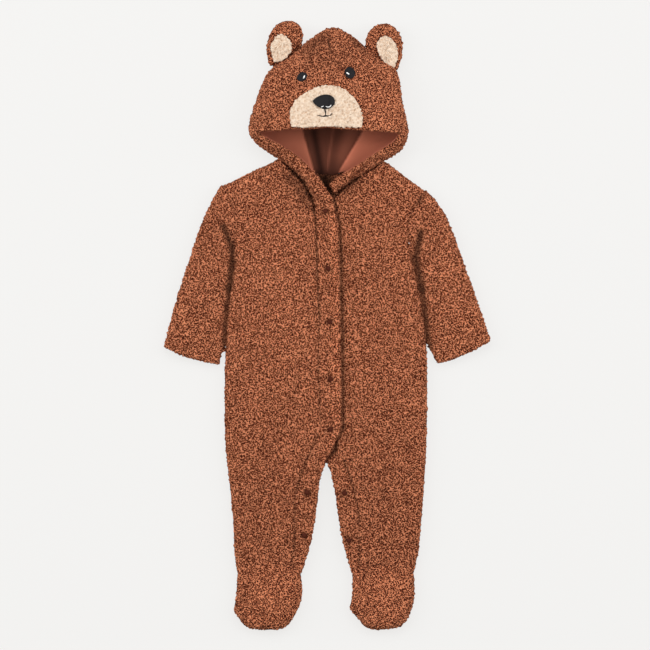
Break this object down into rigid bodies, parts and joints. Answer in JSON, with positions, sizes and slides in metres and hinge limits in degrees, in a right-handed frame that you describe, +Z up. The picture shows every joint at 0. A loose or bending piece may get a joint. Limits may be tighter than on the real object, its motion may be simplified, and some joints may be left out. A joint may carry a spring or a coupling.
{
  "type": "hooded footed baby onesie",
  "caption": "Baby's footed onesie in curly brown fleece with a bear-face hood, ears and a snap placket, laid flat with the hood puffed up.",
  "frame": {"origin": "on the surface that the back rests on, in the middle of the garment's box", "axes": "+Y from the feet to the hood, the garment's long way; +Z up from the surface through the front; +X across the chest"},
  "size_m": [0.426, 0.7934, 0.0644],
  "materials": {
    "fleece": "curly pile fleece",
    "pale_fleece": "curly pile fleece",
    "lining": "smooth cotton jersey",
    "dark_thread": "satin stitch",
    "pale_thread": "satin stitch",
    "snap": "satin enamel"
  },
  "bodies": {
    "root": {"back": "fleece", "front_right": "fleece", "front_left": "fleece", "placket_right": "fleece", "placket_left": "fleece", "sleeve_right": "fleece", "sleeve_left": "fleece", "foot_top_right": "fleece", "foot_top_left": "fleece", "foot_sole_right": "fleece", "foot_sole_left": "fleece", "hood_right": "fleece", "hood_left": "fleece", "hood_lining_right": "lining", "hood_lining_left": "lining", "ear_front_right": "fleece", "ear_front_left": "fleece", "ear_back_right": "fleece", "ear_back_left": "fleece", "ear_inner_right": "pale_fleece", "ear_inner_left": "pale_fleece", "muzzle": "pale_fleece", "nose": "dark_thread", "eye_right": "dark_thread", "eye_left": "dark_thread", "snap_1": "snap", "snap_2": "snap", "snap_3": "snap", "snap_4": "snap", "snap_5": "snap", "snap_6": "snap", "snap_7": "snap", "snap_8": "snap", "snap_9": "snap"}
  },
  "joints": []
}
